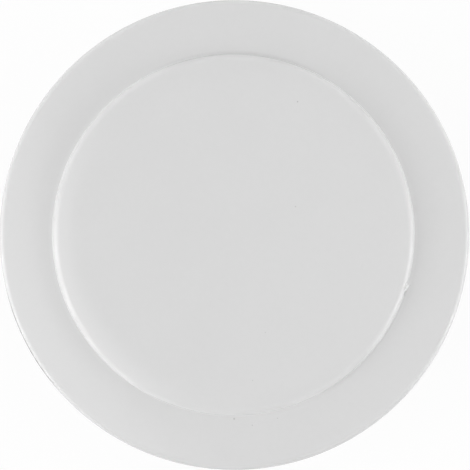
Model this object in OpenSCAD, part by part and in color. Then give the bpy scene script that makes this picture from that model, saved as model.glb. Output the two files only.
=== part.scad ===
// A pipe hole cover: a pressed sheet steel plate that closes an unused round pipe hole in a wall.
// Two spring wires behind the plate press outwards inside the pipe and hold the cover flat on the wall.
// The wall plane is z = 0, the pipe's axis is the Z axis, and the painted front faces +Z.

/* [Plate] */
// Inside diameter of the pipe that the cover closes
pipe_d = 152.4; // [100:0.1:204]
// How far the raised centre reaches past the pipe's bore on each side, half way up its wall
centre_over = 1.5; // [0.5:0.1:6]
// Width of the flange, from the wall of the raised centre to the outside of the rim
flange_w = 23.9; // [14:0.1:40]
// Height of the raised centre over the foot of its wall
centre_h = 4; // [3.5:0.5:12]
// Thickness of the sheet
sheet_t = 0.5; // [0.4:0.05:0.8]
// Steepness of the wall round the raised centre, in degrees
wall_a = 84; // [60:1:84]
// Radius of the rounded shoulder at the top of the wall, on the front
shoulder_r = 3.2; // [1:0.1:3.5]
// Radius of the hollow corner at the foot of the wall, on the front
foot_r = 0.3; // [0.2:0.1:1.2]
// Fall of the flange from the foot of the wall to the rim, in degrees
flange_a = 1.5; // [0:0.1:3]

/* [Face] */
// Slope of the face where it meets the shoulder, in degrees
crown_a = 3.5; // [1:0.1:6]
// Radius of the faint crown that leads from the flat of the face to the shoulder
crown_r = 160; // [60:5:300]

/* [Rim] */
// Outside radius of the rolled rim
rim_r = 2.6; // [1.2:0.1:3.5]
// Width of the flat lip that lies on the wall behind the rim
lip_w = 4; // [2:0.5:8]

/* [Spring wires] */
// Diameter of the wire
wire_d = 2; // [1.6:0.1:2.5]
// Radius of every bend, at the middle of the wire
bend_r = 5; // [4:0.5:7]
// Angle between the two arms of one wire, in degrees
spread_a = 90; // [70:1:110]
// How far each free leg stands outside the pipe's bore before the cover is pushed in
grip = 2.8; // [1:0.1:5]
// How far inside the pipe's bore the arms turn down into legs
root_inset = 14; // [10:0.5:25]
// Depth behind the wall at which a leg presses hardest on the pipe
bow_depth = 22; // [15:0.5:35]
// Depth behind the wall to which the legs reach
leg_depth = 40; // [36:0.5:60]
// Lean of a leg's tip towards the pipe's axis, in degrees
tip_a = 30; // [15:1:45]
// Length of the straight end of each leg, after its last bend
tip_l = 4; // [2:0.5:8]

/* [Clip strap] */
// Thickness of the strap
strap_t = 0.8; // [0.5:0.1:1.2]
// Width of the strap
strap_w = 8; // [6:0.5:12]
// Distance from the middle of the plate to each wire in the strap
seat_y = 9; // [7:0.5:14]
// Length of each welded foot, from its wire outwards
foot_l = 9; // [6:0.5:14]
// Diameter of a spot weld's dimple
weld_d = 2.6; // [2:0.1:3.5]
// Depth of a spot weld's dimple
weld_h = 0.2; // [0.1:0.05:0.3]
// Clearance round a wire, in the strap and behind the plate
wire_gap = 0.05; // [0.02:0.01:0.15]

/* [Hidden] */

// Widest angle between two neighbouring points of an arc in a sheet's outline
arc_step = 12;
// Fewest steps in an arc, for the faint ones
arc_least = 4;
// Straight left between the crown's arc and the shoulder's
arc_free = 0.1;
// Inside radius of the small bends in the strap
strap_bend_r = 0.3;
// Sides of the wire's section, and the widest angle between two of its rings in a bend
wire_sides = 12;
wire_step = 15;
// Bare wire between the strap's edge and the bend of an arm
seat_free = 1;
$fn = 96;

pipe_r = pipe_d / 2;
wall_r = pipe_r + centre_over;
cover_r = wall_r + flange_w;

// Heights of the front: where the flange meets the rim, at the foot of the wall, and on the face
rim_z = rim_r * (1 + tan(45 - flange_a / 2));
foot_z = rim_z + flange_w * tan(flange_a);
wall_run = centre_h / tan(wall_a);
foot_x = wall_r + wall_run / 2;
top_x = wall_r - wall_run / 2;
top_z = foot_z + centre_h;

// Sloped length from the crown's corner to the shoulder's, so that the arc of one ends before the other's begins
crown_l = crown_r * tan(crown_a / 2) + shoulder_r * tan((wall_a - crown_a) / 2) + arc_free;
crown_x = top_x - crown_l * cos(crown_a);
face_z = top_z + crown_l * sin(crown_a);
back_z = face_z - sheet_t;

// Corners of the front of the sheet, from its middle out over the shoulder, the foot and the rim to the lip
plate_corners = [
    [0, face_z],
    [crown_x, face_z],
    [top_x, top_z],
    [foot_x, foot_z],
    [cover_r, rim_z],
    [cover_r, 0],
    [cover_r - rim_r - lip_w, 0],
];
plate_radii = [0, crown_r, shoulder_r, foot_r, rim_r, rim_r, 0];

// Wire: heights and turns. The three bends of a leg have their middles on one upright plane through the arm.
wire_z = back_z - wire_gap - wire_d / 2;
arm_a = 90 - spread_a / 2;
seat_l = strap_w / 2 + seat_free;
arm_x = seat_l + bend_r * sin(arm_a);
arm_y = seat_y + bend_r * (1 - cos(arm_a));
bow_z = -bow_depth;
low_z = -leg_depth + wire_d / 2 + bend_r;
root_z = wire_z - bend_r;
root_u = along(pipe_r - root_inset);
bow_u = along(pipe_r + grip - wire_d / 2 - bend_r);
lean_a = atan2(bow_u - root_u, root_z - bow_z);
tip_u = bow_u - (bow_z - low_z) * tan(tip_a);

// Strap: a channel over each wire, with lands on the plate beside and between them
channel_w = wire_d + 2 * wire_gap;
channel_h = wire_d + 2 * wire_gap;
in_y = seat_y - channel_w / 2;
out_y = seat_y + channel_w / 2;
end_y = seat_y + foot_l;
weld_y = (out_y + strap_t + end_y) / 2;
land_r = strap_t + strap_bend_r;
half_strap = [
    [in_y, 0],
    [in_y, -channel_h],
    [out_y, -channel_h],
    [out_y, 0],
    [end_y, 0],
];
half_radii = [land_r, strap_bend_r, strap_bend_r, land_r, 0];

function last(list) = len(list) - 1;
function reverse(list) = [for (i = [last(list):-1:0]) list[i]];
function unit(v) = v / norm(v);
function right(v) = [v.y, -v.x];
function spin(v, a) = [v.x * cos(a) - v.y * sin(a), v.x * sin(a) + v.y * cos(a)];

// Distance along an arm, from the end of its first bend, to the point at a given radius from the pipe's axis
function along(r) =
    let (start = [arm_x, arm_y], dir = [cos(arm_a), sin(arm_a)], s = start * dir)
    sqrt(s * s - start * start + r * r) - s;

// One rounded corner of a sheet's outline, with the sheet's far side at depth d on the right of the way of travel
function corner(before, at, after, r, d) =
    let (
        a = unit(at - before),
        b = unit(after - at),
        turn = atan2(a.x * b.y - a.y * b.x, a * b),
        side = turn > 0 ? -1 : 1,
        middle = at - a * r * tan(abs(turn) / 2) + right(a) * r * side,
        steps = max(arc_least, ceil(abs(turn) / arc_step))
    )
    [for (i = [0:steps]) middle - spin(right(a), turn * i / steps) * (r - d * side) * side];

// One side of a bent sheet, at depth d below the line through its corners
function sheet_side(p, r, d) =
    let (n = last(p))
    concat(
        [p[0] + right(unit(p[1] - p[0])) * d],
        [for (i = [1:n - 1]) each corner(p[i - 1], p[i], p[i + 1], r[i], d)],
        [p[n] + right(unit(p[n] - p[n - 1])) * d]
    );

// The closed section of a bent sheet of thickness t
function sheet_section(p, r, t) = concat(sheet_side(p, r, 0), reverse(sheet_side(p, r, t)));

// Stations of a bend that turns a wire downwards: [distance along the arm, height, pitch], with pitch 180 for inwards
function leg_bend(u, z, from, to) =
    let (steps = ceil((to - from) / wire_step))
    [for (i = [0:steps]) let (p = from + (to - from) * i / steps) [u + bend_r * sin(p), z + bend_r * cos(p), p]];

// Stations of one side of a wire: [x, y, z, heading, pitch], from the end of its seat out along the arm to its tip
function wire_stations() =
    let (
        steps = ceil(arm_a / wire_step),
        seat_bend = [for (i = [0:steps]) let (h = arm_a * i / steps)
            [seat_l + bend_r * sin(h), bend_r * (1 - cos(h)), 0, h, 0]],
        leg = concat(
            leg_bend(root_u, -bend_r, 0, 90 - lean_a),
            leg_bend(bow_u, bow_z - wire_z, 90 - lean_a, 90 + tip_a),
            leg_bend(tip_u, low_z - wire_z, 90 + tip_a, 180),
            [[tip_u - tip_l, low_z - wire_z - bend_r, 180]]
        )
    )
    concat(
        seat_bend,
        [for (s = leg) [arm_x + s[0] * cos(arm_a), arm_y - seat_y + s[0] * sin(arm_a), s[1], arm_a, s[2]]]
    );

// The ring of points round a wire at one station, with way -1 for the mirrored side
function wire_ring(s, way) =
    let (
        across = [-sin(s[3]), cos(s[3]), 0],
        ahead = [cos(s[3]) * cos(s[4]), sin(s[3]) * cos(s[4]), -sin(s[4])],
        over = cross(ahead, across)
    )
    [for (i = [0:wire_sides - 1]) let (
        a = (i + 0.5) * 360 / wire_sides,
        p = [s[0], s[1], s[2]] + (across * cos(a) + over * sin(a)) * wire_d / 2
    ) [way * p.x, p.y, p.z]];

// A spring wire as one closed skin over its rings, from tip to tip
module spring_wire() {
    stations = wire_stations();
    rings = concat([for (s = reverse(stations)) wire_ring(s, -1)], [for (s = stations) wire_ring(s, 1)]);
    n = wire_sides;
    sides = [for (k = [0:last(rings) - 1], i = [0:n - 1]) let (j = (i + 1) % n)
        [k * n + i, (k + 1) * n + i, (k + 1) * n + j, k * n + j]];
    ends = [[for (i = [0:n - 1]) i], [for (i = [n - 1:-1:0]) last(rings) * n + i]];
    color([0.62, 0.63, 0.64]) translate([0, seat_y, wire_z])
        polyhedron([for (ring = rings) each ring], concat(sides, ends), convexity = 6);
}

module cover_plate() {
    color([0.85, 0.85, 0.85]) rotate_extrude() polygon(sheet_section(plate_corners, plate_radii, sheet_t));
}

module clip_strap() {
    corners = concat([for (p = reverse(half_strap)) [-p.x, p.y]], half_strap);
    radii = concat(reverse(half_radii), half_radii);
    color([0.68, 0.69, 0.70]) translate([0, 0, back_z]) difference() {
        rotate([90, 0, 90]) linear_extrude(strap_w, center = true) polygon(sheet_section(corners, radii, strap_t));
        for (y = [-weld_y, 0, weld_y])
            translate([0, y, -strap_t - weld_h]) cylinder(d = weld_d, h = 2 * weld_h);
    }
}

module upper_spring_wire() {
    spring_wire();
}

module lower_spring_wire() {
    rotate([0, 0, 180]) spring_wire();
}

cover_plate();
clip_strap();
upper_spring_wire();
lower_spring_wire();
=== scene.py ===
import math

import bpy
import numpy as np
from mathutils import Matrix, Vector


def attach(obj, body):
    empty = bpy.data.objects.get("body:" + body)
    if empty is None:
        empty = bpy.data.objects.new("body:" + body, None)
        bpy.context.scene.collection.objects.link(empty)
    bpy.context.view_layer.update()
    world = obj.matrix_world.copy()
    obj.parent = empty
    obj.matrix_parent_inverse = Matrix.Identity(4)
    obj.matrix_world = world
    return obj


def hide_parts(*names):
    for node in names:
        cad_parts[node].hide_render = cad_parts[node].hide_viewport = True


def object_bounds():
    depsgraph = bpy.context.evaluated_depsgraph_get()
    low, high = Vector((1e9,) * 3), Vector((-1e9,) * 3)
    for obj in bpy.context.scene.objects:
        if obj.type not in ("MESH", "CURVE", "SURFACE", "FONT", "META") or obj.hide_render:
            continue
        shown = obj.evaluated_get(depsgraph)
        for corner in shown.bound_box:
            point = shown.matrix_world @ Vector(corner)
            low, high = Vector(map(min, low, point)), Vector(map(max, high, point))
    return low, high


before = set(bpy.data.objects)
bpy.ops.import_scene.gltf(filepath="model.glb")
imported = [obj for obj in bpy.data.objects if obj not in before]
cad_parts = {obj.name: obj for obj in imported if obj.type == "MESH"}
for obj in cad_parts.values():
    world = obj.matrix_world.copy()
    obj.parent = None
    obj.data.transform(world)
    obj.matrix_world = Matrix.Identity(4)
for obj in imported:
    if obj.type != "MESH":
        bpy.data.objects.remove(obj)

CAD_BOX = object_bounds()
MM = 0.001

# Plate: the same driving sizes as the part's source
PIPE_D = 152.4
CENTRE_OVER = 1.5
FLANGE_W = 23.9
CENTRE_H = 4.0
SHEET_T = 0.5
WALL_A = 84.0
SHOULDER_R = 3.2
FOOT_R = 0.3
FLANGE_A = 1.5
CROWN_A = 3.5
CROWN_R = 160.0
RIM_R = 2.6
LIP_W = 4.0
ARC_FREE = 0.1

# Spring wires and strap: the same, too
WIRE_D = 2.0
BEND_R = 5.0
SPREAD_A = 90.0
GRIP = 2.8
ROOT_INSET = 14.0
BOW_DEPTH = 22.0
LEG_DEPTH = 40.0
TIP_A = 30.0
TIP_L = 4.0
STRAP_T = 0.8
STRAP_W = 8.0
SEAT_Y = 9.0
FOOT_L = 9.0
WELD_D = 2.6
WELD_H = 0.2
WIRE_GAP = 0.05
STRAP_BEND_R = 0.3
SEAT_FREE = 1.0
WELD_Y = (SEAT_Y + WIRE_D / 2 + WIRE_GAP + STRAP_T + SEAT_Y + FOOT_L) / 2

# The raised centre was pressed a little off the rim's own centre, which fades out over the flange
PRESS_OFF = (-0.40, 0.12)
OFF_FROM_R, OFF_TO_R = 80.0, 96.0

# Near the wall the face falls a little more than its plain crown does. This fades down the wall to its foot
SAG = 0.25
SAG_FROM_R, SAG_TO_R = 70.5, 77.4
SAG_OVER_FOOT = 3.2

# The flange bulges a little between the foot of the wall and the rim
BULGE = 0.08
BULGE_MID_R, BULGE_HALF_W = 89.0, 10.0

# On its left the flange stands higher at the foot of the wall, and falls ever more steeply to the rim:
# by how much, where round the plate, how far to each side of there, between which radii, and how its fall
# grows. Up the wall this fades over a height
HIGH_SIDE = 0.35
HIGH_SIDE_A, HIGH_SIDE_HALF_A = -160.0, 85.0
HIGH_SIDE_FROM_R, HIGH_SIDE_TO_R = 78.0, 99.0
HIGH_SIDE_POWER = 1.6
HIGH_SIDE_FADE = 3.0

# Faint waves that pressing leaves in the face: a height with its pitches and phases along X and Y, and a
# slanted ripple's height, pitch and slant. They end between two radii
FACE_WAVE, FACE_PITCH, FACE_PHASE = 0.022, (19.0, 23.0), (0.8, -0.5)
RIPPLE, RIPPLE_PITCH, RIPPLE_SLANT = 0.012, 11.0, 1.7
FACE_WAVE_FROM_R, FACE_WAVE_TO_R = 60.0, 74.0
# And in the flange: height, how many of them go round the plate, and phase. They begin between the first
# two radii and end between the others
FLANGE_WAVES = [(0.03, 3, 0.7), (0.014, 7, 2.1)]
FLANGE_WAVE_RADII = (82.0, 90.0, 96.0, 100.0)

# The source's circles are many-sided, so the round skins stay this far inside them
TRIM = 0.04
TRIM_FROM_R, TRIM_TO_R = 90.0, 101.0

# The nick in the shoulder on the right: its middle as degrees round the plate and radius, how far it
# reaches from there along and across itself, and how much it slants
NICK_A = -16.7
NICK_R = 77.2
NICK_LONG, NICK_WIDE = 1.8, 0.35
NICK_SLANT = -12.0
# How deep it is, how high metal stands up along its outer edge, and how many of its widths out that edge is
NICK_DEPTH, NICK_EDGE = 0.7, 0.5
NICK_EDGE_OUT = 2.2
# A small pit beside the nick's lower end: its middle from the nick's, its reach and its depth
PIT_ALONG, PIT_OUT = -2.8, 0.7
PIT_LONG, PIT_WIDE, PIT_DEPTH = 0.7, 0.3, 0.5
# Radii between which they lie, and the shares of their depth by which they push the metal inwards and down
NICK_FROM_R, NICK_TO_R = 75.0, 80.0
DENT_IN, DENT_DOWN = 0.6, 0.8

# Longest steps between the points of the plate's outline, and in degrees round it, in plain places and
# near the nick, and how far round to each side of the nick the close ones reach. The back's are coarser
LONG_STEP, CLOSE_STEP = 2.5, 0.25
LONG_TURN, CLOSE_TURN = 1.2, 0.12
NICK_HALF_A = 3.5
BACK_STEP = 10.0
# Widest angles between two points of an arc in the front's, the back's and the strap's outline, and the
# fewest steps in an arc
FRONT_ARC_STEP, BACK_ARC_STEP, STRAP_ARC_STEP = 5.0, 12.0, 9.0
ARC_LEAST = 6
# What is closer together than this, in millimetres or degrees, is the same
SAME = 1e-6

# Wire: sides of its section, widest angle between two rings in a bend, and how far its cut ends are
# rounded, with the shares of that by which the ring half way round the edge lies inwards and back
WIRE_SIDES = 20
WIRE_TURN_STEP = 4.0
WIRE_CUT = 0.22
CUT_IN, CUT_BACK = 0.35, 0.3

# Strap: radius of its rounded edges, columns of points across it, and longest step along it
STRAP_EDGE_R = 0.16
STRAP_COLUMNS = 33
STRAP_STEP = 0.3
# What lies deeper than this share of the strap's thickness is its back
STRAP_BACK = 0.9
# A weld's dimple is flat over a share of its width. Round it stands a rim, of this height, at this many of
# the dimple's diameters from its middle, and this wide
WELD_FLAT = 0.55
WELD_RIM_H, WELD_RIM_AT, WELD_RIM_W = 0.05, 0.6, 0.25


def unit(v):
    return v / np.linalg.norm(v)


def right(v):
    return np.array([v[1], -v[0]])


def spin(v, a):
    return np.array([v[0] * math.cos(a) - v[1] * math.sin(a), v[0] * math.sin(a) + v[1] * math.cos(a)])


def smoothstep(x, low, high):
    t = np.clip((x - low) / (high - low), 0.0, 1.0)
    return t * t * (3 - 2 * t)


def tan_d(a):
    return math.tan(math.radians(a))


def corner_arc(before, at, after, radius, depth, step):
    """The rounded corner of a bent sheet, on the side at a depth to the right of the way of travel."""
    a, b = unit(at - before), unit(after - at)
    turn = math.atan2(a[0] * b[1] - a[1] * b[0], float(a @ b))
    side = -1 if turn > 0 else 1
    middle = at - a * radius * math.tan(abs(turn) / 2) + right(a) * radius * side
    count = max(ARC_LEAST, math.ceil(math.degrees(abs(turn)) / step))
    out = []
    for i in range(count + 1):
        out.append(middle - spin(right(a), turn * i / count) * (radius - depth * side) * side)
    return out


def sheet_side(corners, radii, depth, step, longest, close=None):
    """One side of a bent sheet as a chain of points, cut so that no step is longer than longest.
    Where close is given, steps near the nick are no longer than that."""
    p = [np.array(c, float) for c in corners]
    chain = [p[0] + right(unit(p[1] - p[0])) * depth]
    for i in range(1, len(p) - 1):
        chain += corner_arc(p[i - 1], p[i], p[i + 1], radii[i], depth, step)
    chain.append(p[-1] + right(unit(p[-1] - p[-2])) * depth)
    fine = [chain[0]]
    for q in chain[1:]:
        start = fine[-1]
        gap = np.linalg.norm(q - start)
        if gap < SAME:
            continue
        at_nick = close and q[0] > NICK_FROM_R and start[0] < NICK_TO_R
        cuts = max(1, math.ceil(gap / (close if at_nick else longest)))
        fine += [start + (q - start) * k / cuts for k in range(1, cuts + 1)]
    return fine


def plate_heights():
    """The corners of the plate's front with their radii, and the height of the back of its face."""
    wall_r = PIPE_D / 2 + CENTRE_OVER
    cover_r = wall_r + FLANGE_W
    rim_z = RIM_R * (1 + tan_d(45 - FLANGE_A / 2))
    foot_z = rim_z + FLANGE_W * tan_d(FLANGE_A)
    wall_run = CENTRE_H / tan_d(WALL_A)
    foot_x, top_x = wall_r + wall_run / 2, wall_r - wall_run / 2
    top_z = foot_z + CENTRE_H
    shoulder_l = SHOULDER_R * tan_d((WALL_A - CROWN_A) / 2)
    crown_l = CROWN_R * tan_d(CROWN_A / 2) + shoulder_l + ARC_FREE
    crown_x = top_x - crown_l * math.cos(math.radians(CROWN_A))
    face_z = top_z + (top_x - crown_x) * tan_d(CROWN_A)
    corners = [(0, face_z), (crown_x, face_z), (top_x, top_z), (foot_x, foot_z),
               (cover_r, rim_z), (cover_r, 0), (cover_r - RIM_R - LIP_W, 0)]
    radii = [0, CROWN_R, SHOULDER_R, FOOT_R, RIM_R, RIM_R, 0]
    return corners, radii, face_z - SHEET_T


def plate_angles():
    """Angles round the plate, close together at the nick."""
    angles, a = [], -180.0
    while a < 180.0 - SAME:
        angles.append(a)
        a += CLOSE_TURN if abs(a - NICK_A) < NICK_HALF_A else LONG_TURN
    return np.radians(np.array(angles))


def sheet_waves(x, y, r):
    """Height that pressing leaves on the face and the flange, as faint waves and a bulge."""
    wave = np.sin(x / FACE_PITCH[0] + FACE_PHASE[0]) * np.cos(y / FACE_PITCH[1] + FACE_PHASE[1]) - 1
    ripple = np.sin((x + RIPPLE_SLANT * y) / RIPPLE_PITCH) - 1
    face = FACE_WAVE * wave + RIPPLE * ripple
    angle = np.arctan2(y, x)
    flange = sum(height * np.sin(count * angle + phase) for height, count, phase in FLANGE_WAVES)
    on_face = 1 - smoothstep(r, FACE_WAVE_FROM_R, FACE_WAVE_TO_R)
    on_flange = smoothstep(r, *FLANGE_WAVE_RADII[:2]) * (1 - smoothstep(r, *FLANGE_WAVE_RADII[2:]))
    bulge = BULGE * np.maximum(0.0, 1 - ((r - BULGE_MID_R) / BULGE_HALF_W) ** 2)
    return face * on_face + flange * on_flange + bulge


def high_side(angles, r, z, foot_z):
    """Height that the flange gains on its left."""
    off = (angles - math.radians(HIGH_SIDE_A) + math.pi) % (2 * math.pi) - math.pi
    off = np.clip(off / math.radians(HIGH_SIDE_HALF_A), -1.0, 1.0)
    out = min(1.0, max(0.0, (r - HIGH_SIDE_FROM_R) / (HIGH_SIDE_TO_R - HIGH_SIDE_FROM_R)))
    up_wall = 1 - smoothstep(z, foot_z, foot_z + HIGH_SIDE_FADE)
    return HIGH_SIDE * np.cos(off * math.pi / 2) ** 2 * (1 - out**HIGH_SIDE_POWER) * up_wall


def nick_dent(angle, r):
    """How deep the nick and its pit are, below 0 where metal stands up along the nick's edge."""
    along, across = (angle - math.radians(NICK_A)) * NICK_R, r - NICK_R
    c, s = math.cos(math.radians(NICK_SLANT)), math.sin(math.radians(NICK_SLANT))
    u, v = along * c - across * s, along * s + across * c
    reach = np.exp(-((u / NICK_LONG) ** 2))
    groove = NICK_DEPTH * np.exp(-((v / NICK_WIDE) ** 2))
    edge = NICK_EDGE * np.exp(-(((v - NICK_EDGE_OUT * NICK_WIDE) / NICK_WIDE) ** 2))
    pit = np.exp(-(((along - PIT_ALONG) / PIT_LONG) ** 2))
    pit = pit * np.exp(-(((across - PIT_OUT) / PIT_WIDE) ** 2))
    return reach * (groove - edge) + PIT_DEPTH * pit


def mesh_object(name, verts, faces):
    """A smooth mesh in the scene, from points in millimetres."""
    mesh = bpy.data.meshes.new(name)
    mesh.from_pydata([tuple(v) for v in np.asarray(verts) * MM], [], faces)
    mesh.validate()
    mesh.polygons.foreach_set("use_smooth", [True] * len(mesh.polygons))
    mesh.update()
    obj = bpy.data.objects.new(name, mesh)
    bpy.context.scene.collection.objects.link(obj)
    return obj


def tube_faces(count, n):
    """Faces of a closed skin over a count of rings, with n points in each."""
    last = count - 1
    faces = [(k * n + i, k * n + (i + 1) % n, (k + 1) * n + (i + 1) % n, (k + 1) * n + i)
             for k in range(last) for i in range(n)]
    return faces + [tuple(reversed(range(n))), tuple(last * n + i for i in range(n))]


def plate_ring(r, z, angles, foot_z):
    """One ring of the plate's skin from its plain radius and height, with the marks of pressing and use."""
    dent = nick_dent(angles, r) if NICK_FROM_R < r < NICK_TO_R and z > RIM_R else 0.0
    shift = 1 - smoothstep(r, OFF_FROM_R, OFF_TO_R)
    inside = r - DENT_IN * dent - TRIM * smoothstep(r, TRIM_FROM_R, TRIM_TO_R)
    x = inside * np.cos(angles) + PRESS_OFF[0] * shift
    y = inside * np.sin(angles) + PRESS_OFF[1] * shift
    lift = sheet_waves(x, y, r) if z > RIM_R else 0.0
    lift = lift - SAG * smoothstep(r, SAG_FROM_R, SAG_TO_R) * smoothstep(z, foot_z, foot_z + SAG_OVER_FOOT)
    lift = lift + high_side(angles, r, z, foot_z)
    return np.stack([x, y, z + lift - DENT_DOWN * dent], axis=1)


def make_plate(paint, back_paint):
    """The pressed plate as one closed skin turned round its axis, with another paint on its back."""
    corners, radii, _ = plate_heights()
    foot_z = corners[3][1]
    front = sheet_side(corners, radii, 0, FRONT_ARC_STEP, LONG_STEP, CLOSE_STEP)
    back = sheet_side(corners, radii, SHEET_T, BACK_ARC_STEP, BACK_STEP)
    angles = plate_angles()
    rings = [plate_ring(r, z, angles, foot_z) for r, z in front[1:] + back[:0:-1]]
    n, last = len(angles), len(rings) - 1
    wave = float(sheet_waves(*PRESS_OFF, 0.0))
    tops = [(*PRESS_OFF, front[0][1] + wave), (*PRESS_OFF, back[0][1] + wave)]
    verts = np.concatenate(rings + [tops])
    top = len(rings) * n
    faces = []
    for k in range(last):
        for i in range(n):
            j = (i + 1) % n
            faces.append((k * n + i, (k + 1) * n + i, (k + 1) * n + j, k * n + j))
    faces += [(top, i, (i + 1) % n) for i in range(n)]
    faces += [(top + 1, last * n + (i + 1) % n, last * n + i) for i in range(n)]
    obj = mesh_object("cover_plate_skin", verts, faces)
    obj.data.materials.append(paint)
    obj.data.materials.append(back_paint)
    first_back = (len(front) - 1) * n
    kinds = [1 if k >= first_back else 0 for k in range(last * n)] + [0] * n + [1] * n
    obj.data.polygons.foreach_set("material_index", kinds)
    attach(obj, "root")
    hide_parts("cover_plate")


def leg_bend(u, z, start, end):
    """Points of a bend that turns a wire down and inwards: distance along the arm, height and pitch."""
    count = math.ceil((end - start) / WIRE_TURN_STEP)
    points = []
    for i in range(count + 1):
        pitch = start + (end - start) * i / count
        p = math.radians(pitch)
        points.append((u + BEND_R * math.sin(p), z + BEND_R * math.cos(p), pitch))
    return points


def wire_stations(wire_z):
    """Stations of one side of a wire, from seat to tip as in the source: x, y, z, heading and pitch."""
    arm_a = 90 - SPREAD_A / 2
    c, s = math.cos(math.radians(arm_a)), math.sin(math.radians(arm_a))
    seat_l = STRAP_W / 2 + SEAT_FREE
    arm = np.array([seat_l + BEND_R * s, SEAT_Y + BEND_R * (1 - c)])
    ahead = np.array([c, s])

    def along(r):
        part = float(arm @ ahead)
        return math.sqrt(part * part - float(arm @ arm) + r * r) - part

    root_u, root_z = along(PIPE_D / 2 - ROOT_INSET), wire_z - BEND_R
    bow_u, bow_z = along(PIPE_D / 2 + GRIP - WIRE_D / 2 - BEND_R), -BOW_DEPTH
    low_z = -LEG_DEPTH + WIRE_D / 2 + BEND_R + TRIM
    lean = math.degrees(math.atan2(bow_u - root_u, root_z - bow_z))
    tip_u = bow_u - (bow_z - low_z) * tan_d(TIP_A)
    turns = math.ceil(arm_a / WIRE_TURN_STEP)
    stations = []
    for i in range(turns + 1):
        heading = arm_a * i / turns
        h = math.radians(heading)
        x, y = seat_l + BEND_R * math.sin(h), SEAT_Y + BEND_R * (1 - math.cos(h))
        stations.append((x, y, wire_z, heading, 0.0))
    leg = leg_bend(root_u, root_z, 0, 90 - lean)
    leg += leg_bend(bow_u, bow_z, 90 - lean, 90 + TIP_A)
    leg += leg_bend(tip_u, low_z, 90 + TIP_A, 180)
    leg.append((tip_u - TIP_L, low_z - BEND_R, 180))
    stations += [(arm[0] + u * c, arm[1] + u * s, z, arm_a, pitch) for u, z, pitch in leg]
    return stations


def wire_ring(station, way, radius, back):
    """The ring of points round a wire at a station, set back from it, mirrored where the way is -1."""
    x, y, z, h, p = station
    h, p = math.radians(h), math.radians(p)
    ahead = np.array([math.cos(h) * math.cos(p), math.sin(h) * math.cos(p), -math.sin(p)])
    across = np.array([-math.sin(h), math.cos(h), 0.0])
    over = np.cross(ahead, across)
    turn = np.linspace(0, 2 * math.pi, WIRE_SIDES, endpoint=False)[:, None]
    ring = np.array([x, y, z]) - ahead * back + (across * np.cos(turn) + over * np.sin(turn)) * radius
    return ring * np.array([way, 1, 1])


def make_wire(name, node, half_turn, steel):
    """A spring wire as one round skin from cut end to cut end, with its length and girth as its UV map."""
    _, _, back_z = plate_heights()
    stations = wire_stations(back_z - WIRE_GAP - WIRE_D / 2)
    tip, radius = stations[-1], WIRE_D / 2
    side = [(s, radius, 0.0) for s in stations[:-1]]
    side.append((tip, radius, WIRE_CUT))
    side.append((tip, radius - CUT_IN * WIRE_CUT, CUT_BACK * WIRE_CUT))
    side.append((tip, radius - WIRE_CUT, 0.0))
    rings = [wire_ring(s, -1, r, back) for s, r, back in reversed(side)]
    rings += [wire_ring(s, 1, r, back) for s, r, back in side]
    verts = np.concatenate(rings)
    if half_turn:
        verts = verts * np.array([-1, -1, 1])
    obj = mesh_object(name, verts, tube_faces(len(rings), WIRE_SIDES))
    steps = [np.linalg.norm((b - a).mean(0)) for a, b in zip(rings, rings[1:])]
    lengths = np.concatenate([[0.0], np.cumsum(steps)])
    uv = obj.data.uv_layers.new(name="girth")
    for poly in obj.data.polygons:
        for loop in poly.loop_indices:
            v = obj.data.loops[loop].vertex_index
            uv.data[loop].uv = (lengths[v // WIRE_SIDES] * MM, (v % WIRE_SIDES) / WIRE_SIDES)
    obj.data.materials.append(steel)
    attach(obj, "root")
    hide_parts(node)


def strap_edge(x, way, turns, from_back):
    """Points of one rounded edge of the strap, at some turns round it, each as x and depth."""
    points = []
    for turn in turns:
        a = math.radians(turn)
        drop = STRAP_EDGE_R * (1 - math.cos(a))
        depth = STRAP_T - drop if from_back else drop
        points.append((x + way * STRAP_EDGE_R * math.sin(a), depth))
    return points


def strap_section():
    """The closed section of the strap with its four rounded edges, each point as x and depth."""
    half = STRAP_W / 2 - STRAP_EDGE_R
    widths = np.linspace(-half, half, STRAP_COLUMNS)
    section = [(x, 0.0) for x in widths]
    section += strap_edge(half, 1, (30, 60, 90), False)
    section += strap_edge(half, 1, (60, 30, 0), True)
    section += [(x, STRAP_T) for x in widths[-2::-1]]
    section += strap_edge(-half, -1, (30, 60, 90), True)
    section += strap_edge(-half, -1, (60, 30), False)
    return section


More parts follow.
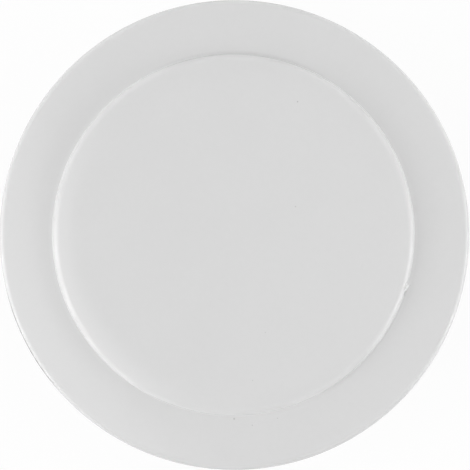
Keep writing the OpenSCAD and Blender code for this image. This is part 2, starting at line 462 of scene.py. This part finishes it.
def make_strap(zinc):
    """The clip strap: a rounded strip swept over both wires, with a weld dimple in each land."""
    _, _, back_z = plate_heights()
    channel = WIRE_D + 2 * WIRE_GAP
    inner, outer = SEAT_Y - channel / 2, SEAT_Y + channel / 2
    land_r = STRAP_T + STRAP_BEND_R
    half = [(inner, 0), (inner, -channel), (outer, -channel), (outer, 0), (SEAT_Y + FOOT_L, 0)]
    half_radii = [land_r, STRAP_BEND_R, STRAP_BEND_R, land_r, 0]
    corners = [(-y, z) for y, z in reversed(half)] + half
    radii = half_radii[::-1] + half_radii
    chain = sheet_side(corners, radii, 0, STRAP_ARC_STEP, STRAP_STEP)
    section = strap_section()
    rings = []
    for k, p in enumerate(chain):
        down = right(unit(chain[min(k + 1, len(chain) - 1)] - chain[max(k - 1, 0)]))
        rings.append([(x, *(p + down * depth)) for x, depth in section])
    verts = np.concatenate(rings)
    for y in (-WELD_Y, 0.0, WELD_Y):
        far = np.hypot(verts[:, 0], verts[:, 1] - y)
        on_back = verts[:, 2] < -STRAP_BACK * STRAP_T
        dimple = WELD_H * (1 - smoothstep(far, WELD_FLAT * WELD_D / 2, WELD_D / 2))
        rim = WELD_RIM_H * np.exp(-(((far - WELD_RIM_AT * WELD_D) / WELD_RIM_W) ** 2))
        verts[:, 2] += np.where(on_back, dimple - rim, 0.0)
    verts[:, 2] += back_z
    obj = mesh_object("clip_strap_pressed", verts, tube_faces(len(rings), len(section)))
    obj.data.materials.append(zinc)
    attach(obj, "root")
    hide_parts("clip_strap")


# How deep the fine relief in every material is
RELIEF = 0.02
# Most of a noise's values lie in the first of these ranges, and all but a few in the second
MOST_NOISE = (0.3, 0.7)
ALL_NOISE = (0.2, 0.8)


class Nodes:
    """Short hand for building a material's node tree."""

    def __init__(self, name):
        self.material = bpy.data.materials.new(name)
        self.material.use_nodes = True
        self.tree = self.material.node_tree
        self.tree.nodes.clear()
        self.out = self.tree.nodes.new("ShaderNodeOutputMaterial")

    def add(self, kind, **values):
        """A node with some of its properties and, by their names, the values or sources of its sockets."""
        node = self.tree.nodes.new(kind)
        sockets = values.pop("sockets", {})
        for key, value in values.items():
            setattr(node, key, value)
        for key, value in sockets.items():
            if isinstance(value, bpy.types.NodeSocket):
                self.tree.links.new(value, node.inputs[key])
            else:
                node.inputs[key].default_value = value
        return node

    def link(self, source, target):
        self.tree.links.new(source, target)

    def noise(self, vector, scale, detail=2.0, rough=0.5):
        """Noise with a scale in cells to a metre."""
        sockets = {"Vector": vector, "Scale": scale, "Detail": detail, "Roughness": rough}
        return self.add("ShaderNodeTexNoise", sockets=sockets).outputs["Fac"]

    def ramp(self, value, low, high, to_low, to_high):
        """A value taken from one range to another, held at its ends."""
        sockets = {"Value": value, "From Min": low, "From Max": high, "To Min": to_low, "To Max": to_high}
        return self.add("ShaderNodeMapRange", sockets=sockets).outputs["Result"]

    def math(self, operation, a, b=0.0):
        return self.add("ShaderNodeMath", operation=operation, sockets={0: a, 1: b}).outputs["Value"]

    def position(self):
        return self.add("ShaderNodeTexCoord").outputs["Object"]

    def parts(self, vector):
        return self.add("ShaderNodeSeparateXYZ", sockets={"Vector": vector}).outputs

    def flat(self, vector):
        """A place with its height taken away."""
        node = self.add("ShaderNodeVectorMath", operation="MULTIPLY", sockets={0: vector, 1: (1, 1, 0)})
        return node.outputs["Vector"]

    def distance(self, a, b):
        return self.add("ShaderNodeVectorMath", operation="DISTANCE", sockets={0: a, 1: b}).outputs["Value"]

    def stretched(self, vector, scales):
        return self.add("ShaderNodeMapping", sockets={"Vector": vector, "Scale": scales}).outputs["Vector"]

    def colour(self, tone, blue_share=None):
        """A grey of a tone, with its blue a share of that where one is given."""
        blue = tone if blue_share is None else self.math("MULTIPLY", tone, blue_share)
        sockets = {"Red": tone, "Green": tone, "Blue": blue}
        return self.add("ShaderNodeCombineColor", sockets=sockets).outputs["Color"]

    def shade(self, colour, rough, relief, strength, metallic=0.0):
        """Ends the tree in a shader with a colour, a roughness and a fine relief."""
        bumps = {"Strength": strength, "Distance": RELIEF * MM, "Height": relief}
        normal = self.add("ShaderNodeBump", sockets=bumps).outputs["Normal"]
        sockets = {"Base Color": colour, "Metallic": metallic, "Roughness": rough, "Normal": normal}
        shader = self.add("ShaderNodeBsdfPrincipled", sockets=sockets)
        self.link(shader.outputs["BSDF"], self.out.inputs["Surface"])
        return self.material


def grey(value, tint=(1.0, 1.0, 1.0)):
    return (value * tint[0], value * tint[1], value * tint[2], 1.0)


# Dark bands painted on the outside of the rim: the first is painted shade along its lower left edge, the
# second a faint darker band at its bottom. For each, the middle and the half widths in degrees round the
# plate, the heights between which it fades upwards, and how much it darkens the paint
RIM_DARK_BANDS = [
    (-152.0, 7.0, 16.0, 3.9, 4.2, 0.6),
    (-92.0, 35.0, 60.0, 4.5, 5.0, 0.08),
]
RIM_DARK_LOW_Z, RIM_DARK_FULL_LOW_Z = 2.5, 3.0
RIM_DARK_FROM_R, RIM_DARK_FULL_R = 99.0, 100.0
# They are patchy: the noise's scale, the part of its range that counts, and how strong they are at least
RIM_DARK_SCALE, RIM_DARK_NOISE, RIM_DARK_LEAST = 350.0, (0.35, 0.6), 0.6


def rim_dark_tone(m, at):
    """How much darker the painted bands make the rim, the first of them painted shade, as a factor."""
    place = m.parts(at)
    angle = m.math("ARCTAN2", place["Y"], place["X"])
    radius = m.add("ShaderNodeVectorMath", operation="LENGTH", sockets={0: m.flat(at)}).outputs["Value"]
    on_rim = m.ramp(radius, RIM_DARK_FROM_R * MM, RIM_DARK_FULL_R * MM, 0.0, 1.0)
    on_rim = m.math("MULTIPLY", on_rim, m.ramp(place["Z"], RIM_DARK_LOW_Z * MM, RIM_DARK_FULL_LOW_Z * MM, 0.0, 1.0))
    on_rim = m.math("MULTIPLY", on_rim, m.ramp(m.noise(at, RIM_DARK_SCALE, 3.0), *RIM_DARK_NOISE, RIM_DARK_LEAST, 1.0))
    tone = 1.0
    for middle, full, end, full_z, end_z, dark in RIM_DARK_BANDS:
        off = m.math("ABSOLUTE", m.math("SUBTRACT", angle, math.radians(middle)))
        round_it = m.ramp(off, math.radians(full), math.radians(end), dark, 0.0)
        mask = m.math("MULTIPLY", round_it, m.ramp(place["Z"], full_z * MM, end_z * MM, 1.0, 0.0))
        tone = m.math("SUBTRACT", tone, m.math("MULTIPLY", mask, on_rim))
    return tone


# Painted light that lifts the shade round the foot of the raised centre: a little on the flange beside it,
# and more on the wall and its foot above and below, but for the very top. Heights and distances run from
# none to full
FOOT_LIGHT, FOOT_RADII = 0.04, (77.9, 78.4, 78.9, 79.9)
FOOT_SIDE_X = (48.0, 70.0)
WALL_LIGHT, WALL_RADII = 0.08, (76.8, 77.2, 77.9, 78.3)
WALL_TOP_Z = (8.4, 7.8)
WALL_SIDE_X = (62.0, 42.0)
WALL_TOP_Y = (75.0, 68.0)
# Painted shade darkens the foot of the wall at the very top
TOP_SHADE_DARK, TOP_SHADE_RADII = 0.035, (78.0, 78.3, 79.0, 79.6)


def ring_mask(m, far, radii):
    """1 between the middle two of four radii, 0 outside the outer two."""
    start = m.ramp(far, radii[0] * MM, radii[1] * MM, 0.0, 1.0)
    return m.math("MULTIPLY", start, m.ramp(far, radii[2] * MM, radii[3] * MM, 1.0, 0.0))


def fade(m, value, ends):
    """0 at the first of two lengths and 1 at the second."""
    return m.ramp(value, ends[1] * MM, ends[0] * MM, 1.0, 0.0)


def foot_light_and_shade_tone(m, at):
    """Painted light and shade round the foot of the raised centre, as a factor on the paint's tone."""
    centre = (PRESS_OFF[0] * MM, PRESS_OFF[1] * MM, 0)
    far = m.distance(m.flat(at), centre)
    place = m.parts(at)
    below_top = fade(m, place["Y"], WALL_TOP_Y)
    beside = m.math("ABSOLUTE", place["X"])
    foot = m.math("MULTIPLY", ring_mask(m, far, FOOT_RADII), fade(m, beside, FOOT_SIDE_X))
    wall = m.math("MULTIPLY", ring_mask(m, far, WALL_RADII), fade(m, place["Z"], WALL_TOP_Z))
    wall = m.math("MULTIPLY", m.math("MULTIPLY", wall, below_top), fade(m, beside, WALL_SIDE_X))
    light = m.math("MAXIMUM", m.math("MULTIPLY", foot, FOOT_LIGHT), m.math("MULTIPLY", wall, WALL_LIGHT))
    top_shade = m.math("MULTIPLY", ring_mask(m, far, TOP_SHADE_RADII), m.math("SUBTRACT", 1.0, below_top))
    return m.math("SUBTRACT", m.math("ADD", 1.0, light), m.math("MULTIPLY", top_shade, TOP_SHADE_DARK))


# White paint: its tone, how far clouds and grain change it, its roughness, the strength of its relief, and
# the scales of its noises
PAINT_TONE = 0.724
PAINT_CLOUDS, PAINT_GRAIN = 0.004, 0.003
PAINT_ROUGH = (0.17, 0.21)
PAINT_RELIEF = 0.25
CLOUD_SCALE, GRAIN_SCALE, PEEL_SCALE = 45.0, 420.0, 700.0

# Dust specks baked into the paint, as x, y and radius in millimetres, and how dark each is
SPECKS = [
    (-0.1, -79.2, 0.6, 0.25),
    (27.1, 57.2, 0.4, 0.35),
    (26.2, 12.2, 0.35, 0.3),
    (7.7, -82.0, 0.35, 0.25),
    (18.6, -79.0, 0.3, 0.25),
    (13.3, -41.8, 0.3, 0.2),
    (7.8, -62.4, 0.3, 0.2),
]
# Painted shadow in and beside the nick, in the same form
NICK_SHADE_SPOTS = [
    (73.7, -21.3, 0.5, 0.14),
    (73.6, -22.8, 0.45, 0.14),
    (75.7, -21.8, 0.4, 0.12),
    (74.0, -24.3, 0.4, 0.16),
    (73.6, -25.9, 0.35, 0.12),
]
# The share of a speck's radius over which it is darkest
SPECK_CORE = 0.3


def white_paint():
    """Semi-gloss white enamel: faint orange peel, clouds and specks, with painted shade on the rim and by
    the nick, and painted light and shade round the raised centre.
    """
    m = Nodes("semi_gloss_white_paint")
    at = m.position()
    cloud = m.noise(at, CLOUD_SCALE, 4.0, 0.6)
    clouds = m.ramp(cloud, *MOST_NOISE, -PAINT_CLOUDS, PAINT_CLOUDS)
    grain = m.ramp(m.noise(at, GRAIN_SCALE), *MOST_NOISE, -PAINT_GRAIN, PAINT_GRAIN)
    tone = m.math("ADD", m.math("ADD", clouds, grain), PAINT_TONE)
    flat = m.flat(at)
    # Dust specks, then the painted shadow spots in and beside the nick
    for x, y, radius, dark in SPECKS + NICK_SHADE_SPOTS:
        far = m.distance(flat, (x * MM, y * MM, 0))
        spot = m.ramp(far, SPECK_CORE * radius * MM, radius * MM, 1 - dark, 1.0)
        tone = m.math("MULTIPLY", tone, spot)
    # Painted shade along the rim's lower left edge, and a faint darker band at the rim's bottom
    tone = m.math("MULTIPLY", tone, rim_dark_tone(m, at))
    # Painted light at the foot of the raised centre, and painted shade at its very top
    tone = m.math("MULTIPLY", tone, foot_light_and_shade_tone(m, at))
    rough = m.ramp(cloud, *ALL_NOISE, *PAINT_ROUGH)
    return m.shade(m.colour(tone), rough, m.noise(at, PEEL_SCALE, 2.0, 0.4), PAINT_RELIEF)


# Back coat: its tones, how far rolling marks change them, its blue as a share of them, its roughness, the
# strength of its relief, and the scales of its noises
BACK_TONES, BACK_MARKS, BACK_BLUE = (0.56, 0.61), 0.012, 0.985
BACK_ROUGH, BACK_RELIEF = (0.42, 0.58), 0.2
BACK_CLOUD_SCALE, BACK_MARK_SCALES = 30.0, (900.0, 14.0, 14.0)


def back_paint():
    """The thin, duller coat on the back, with the sheet's rolling marks showing through."""
    m = Nodes("thin_back_coat")
    at = m.position()
    cloud = m.noise(at, BACK_CLOUD_SCALE, 5.0, 0.6)
    marks = m.noise(m.stretched(at, BACK_MARK_SCALES), 1.0)
    clouds = m.ramp(cloud, *MOST_NOISE, *BACK_TONES)
    tone = m.math("ADD", clouds, m.ramp(marks, *MOST_NOISE, -BACK_MARKS, BACK_MARKS))
    rough = m.ramp(cloud, *ALL_NOISE, *BACK_ROUGH)
    return m.shade(m.colour(tone, BACK_BLUE), rough, marks, BACK_RELIEF)


# Wire: its bright and its bloomed colour, how much bloom there is at most, how far its drawing lines change
# its brightness and roughness, the strength of their relief, and the scales of its noises, the first along
# and round it
STEEL, BLOOM = grey(0.47, (1.0, 1.0, 1.01)), grey(0.33, (1.05, 0.97, 0.88))
BLOOM_NOISE, BLOOM_MOST = (0.5, 0.75), 0.55
STREAK_LIGHT, STREAK_ROUGH, STREAK_RELIEF = (0.82, 1.12), (0.24, 0.4), 0.3
STREAK_SCALES, BLOOM_SCALE = (60.0, 26.0, 1.0), 130.0


def drawn_steel():
    """Bright drawn spring wire: fine lines along its length and a faint brown bloom."""
    m = Nodes("drawn_spring_steel")
    uv = m.add("ShaderNodeUVMap", uv_map="girth").outputs["UV"]
    streaks = m.noise(m.stretched(uv, STREAK_SCALES), 1.0, 4.0, 0.6)
    bloom = m.ramp(m.noise(m.position(), BLOOM_SCALE, 3.0), *BLOOM_NOISE, 0.0, BLOOM_MOST)
    mix = m.add("ShaderNodeMix", data_type="RGBA", sockets={"Factor": bloom})
    mix.inputs["A"].default_value = STEEL
    mix.inputs["B"].default_value = BLOOM
    light = m.ramp(streaks, *MOST_NOISE, *STREAK_LIGHT)
    lined = m.add("ShaderNodeHueSaturation", sockets={"Color": mix.outputs["Result"], "Value": light})
    rough = m.ramp(streaks, *MOST_NOISE, *STREAK_ROUGH)
    return m.shade(lined.outputs["Color"], rough, streaks, STREAK_RELIEF, metallic=1.0)


# Zinc: its tones, the factors by which its spangles change them, its blue as a share of them, its roughness,
# the strength of its relief, and the scales of its noises
ZINC_TONES, SPANGLE_TONES, ZINC_BLUE = (0.54, 0.62), (0.9, 1.06), 1.02
ZINC_ROUGH, ZINC_RELIEF = (0.34, 0.48), 0.2
SPANGLE_SCALE, ZINC_SCALE = 420.0, 900.0
# How far from a spangle's middle its tone ends, as a share of its cell
SPANGLE_END = 0.8
# A weld burns the zinc round it: how dark it is in the middle, and from where to where it fades
BURN_TONE, BURN_FROM_R, BURN_TO_R = 0.62, 0.9, 2.2


def galvanised():
    """Zinc coated strip with small spangles and a darker ring round each weld."""
    m = Nodes("galvanised_strip")
    at = m.position()
    cells = m.add("ShaderNodeTexVoronoi", sockets={"Vector": at, "Scale": SPANGLE_SCALE})
    spangles = m.ramp(cells.outputs["Distance"], 0.0, SPANGLE_END, *SPANGLE_TONES)
    grain = m.noise(at, ZINC_SCALE)
    tone = m.math("MULTIPLY", spangles, m.ramp(grain, *MOST_NOISE, *ZINC_TONES))
    flat = m.flat(at)
    for y in (-WELD_Y, 0.0, WELD_Y):
        far = m.distance(flat, (0, y * MM, 0))
        tone = m.math("MULTIPLY", tone, m.ramp(far, BURN_FROM_R * MM, BURN_TO_R * MM, BURN_TONE, 1.0))
    rough = m.ramp(grain, *MOST_NOISE, *ZINC_ROUGH)
    return m.shade(m.colour(tone, ZINC_BLUE), rough, grain, ZINC_RELIEF, metallic=1.0)


def seen_directly(tree):
    """1 for rays from the camera, a mirror or through glass, and 0 for the light that falls on things."""
    path = tree.nodes.new("ShaderNodeLightPath")
    total = tree.nodes.new("ShaderNodeMath")
    total.operation = "MAXIMUM"
    tree.links.new(path.outputs["Is Camera Ray"], total.inputs[0])
    both = tree.nodes.new("ShaderNodeMath")
    both.operation = "MAXIMUM"
    tree.links.new(path.outputs["Is Glossy Ray"], both.inputs[0])
    tree.links.new(path.outputs["Is Transmission Ray"], both.inputs[1])
    tree.links.new(both.outputs["Value"], total.inputs[1])
    return total.outputs["Value"]


# The world's light on things, how much of the floor's own shading shows, its grey, and half its width
WORLD_LIGHT = 0.02
FLOOR_SHADOW = 0.06
FLOOR_GREY = 0.9
FLOOR_HALF = 6.0


def make_world():
    """White where it is seen, and a faint even light on things."""
    world = bpy.data.worlds.new("studio")
    bpy.context.scene.world = world
    world.use_nodes = True
    tree = world.node_tree
    tree.nodes.clear()
    out = tree.nodes.new("ShaderNodeOutputWorld")
    white = tree.nodes.new("ShaderNodeBackground")
    white.inputs["Strength"].default_value = 1.0
    light = tree.nodes.new("ShaderNodeBackground")
    light.inputs["Strength"].default_value = WORLD_LIGHT
    mix = tree.nodes.new("ShaderNodeMixShader")
    tree.links.new(seen_directly(tree), mix.inputs["Fac"])
    tree.links.new(light.outputs["Background"], mix.inputs[1])
    tree.links.new(white.outputs["Background"], mix.inputs[2])
    tree.links.new(mix.outputs["Shader"], out.inputs["Surface"])


def make_floor():
    """A pale floor under the lowest point, white with a faint shadow and clear when seen from below."""
    floor_z = CAD_BOX[0].z
    mesh = bpy.data.meshes.new("floor")
    corners = [(-1, -1), (1, -1), (1, 1), (-1, 1)]
    mesh.from_pydata([(x * FLOOR_HALF, y * FLOOR_HALF, floor_z) for x, y in corners], [], [(0, 1, 2, 3)])
    floor = bpy.data.objects.new("floor", mesh)
    bpy.context.scene.collection.objects.link(floor)
    m = Nodes("pale_floor")
    diffuse = m.add("ShaderNodeBsdfDiffuse", sockets={"Color": grey(FLOOR_GREY)})
    glow = m.add("ShaderNodeEmission", sockets={"Strength": 1.0})
    share = m.math("MULTIPLY", seen_directly(m.tree), 1 - FLOOR_SHADOW)
    mix = m.add("ShaderNodeMixShader", sockets={"Fac": share})
    m.link(diffuse.outputs["BSDF"], mix.inputs[1])
    m.link(glow.outputs["Emission"], mix.inputs[2])
    clear = m.add("ShaderNodeBsdfTransparent")
    from_below = m.add("ShaderNodeNewGeometry").outputs["Backfacing"]
    behind = m.add("ShaderNodeMixShader", sockets={"Fac": from_below})
    m.link(mix.outputs["Shader"], behind.inputs[1])
    m.link(clear.outputs["BSDF"], behind.inputs[2])
    m.link(behind.outputs["Shader"], m.out.inputs["Surface"])
    mesh.materials.append(m.material)


# Soft boxes round the plate, in groups of one power each: watts, elevation and azimuths. They stand round
# it in rings like a white tent, strongest on the left and low on the right
SOFT_BOXES = [
    (10.4, 12, (180, 195, 210, 225)),
    (13.4, 12, (330, 345, 0)),
    (6.3, 12, (30, 60, 90, 120)),
    (3.9, 12, (150, 240, 300)),
    (6.9, 35, (180, 195, 210)),
    (3.9, 35, (330, 0, 30)),
    (2.9, 35, (60, 90, 120, 150, 300)),
    (6.1, 57, (180, 225)),
    (5.1, 57, (0, 45)),
    (3.5, 57, (90, 135, 315)),
    (1.8, 78, (0,)),
]
BOX_DISTANCE = 3.0
BOX_SIDE = 1.1
# A wide box high up on the left, which the flange there mirrors
HIGH_BOX_WATTS, HIGH_BOX_A, HIGH_BOX_ELEVATION = 4.4, 202, 74
HIGH_BOX_W, HIGH_BOX_H = 1.3, 0.8


def soft_box(name, azimuth, elevation, distance, width, height, watts):
    """An area lamp that faces the plate. Azimuth is measured from +X towards +Y."""
    a, e = math.radians(azimuth), math.radians(elevation)
    data = bpy.data.lights.new(name, "AREA")
    data.shape, data.size, data.size_y, data.energy = "RECTANGLE", width, height, watts
    lamp = bpy.data.objects.new(name, data)
    lamp.location = Vector((math.cos(e) * math.cos(a), math.cos(e) * math.sin(a), math.sin(e))) * distance
    lamp.rotation_mode = "QUATERNION"
    lamp.rotation_quaternion = (-lamp.location).to_track_quat("-Z", "Y")
    lamp.visible_camera = False
    bpy.context.scene.collection.objects.link(lamp)


def make_lamps():
    for watts, elevation, azimuths in SOFT_BOXES:
        for azimuth in azimuths:
            name = f"box_{elevation}_{azimuth}"
            soft_box(name, azimuth, elevation, BOX_DISTANCE, BOX_SIDE, BOX_SIDE, watts)
    high_place = (HIGH_BOX_A, HIGH_BOX_ELEVATION, BOX_DISTANCE)
    soft_box("high_box", *high_place, HIGH_BOX_W, HIGH_BOX_H, HIGH_BOX_WATTS)


# The camera: how far over the rim it is in metres, how far to the right of the plate's middle, how far it
# sees to each side at the height of the rim, and between which distances in metres it sees
CAMERA_HEIGHT = 1.0
CAMERA_X = 0.26
HALF_FRAME = 101.6
CLIP = (0.05, 50.0)


def make_camera():
    """Straight above the middle of the plate, with the plate's rim reaching the picture's edges."""
    data = bpy.data.cameras.new("camera")
    data.lens = data.sensor_width / 2 * CAMERA_HEIGHT / (HALF_FRAME * MM)
    data.clip_start, data.clip_end = CLIP
    camera = bpy.data.objects.new("camera", data)
    camera.location = (CAMERA_X * MM, 0.0, CAMERA_HEIGHT + RIM_R * MM)
    bpy.context.scene.collection.objects.link(camera)
    bpy.context.scene.camera = camera


bpy.context.scene.view_settings.view_transform = "Standard"
make_camera()
make_world()
make_floor()
make_lamps()

make_plate(white_paint(), back_paint())
steel = drawn_steel()
make_wire("upper_wire_round", "upper_spring_wire", False, steel)
make_wire("lower_wire_round", "lower_spring_wire", True, steel)
make_strap(galvanised())
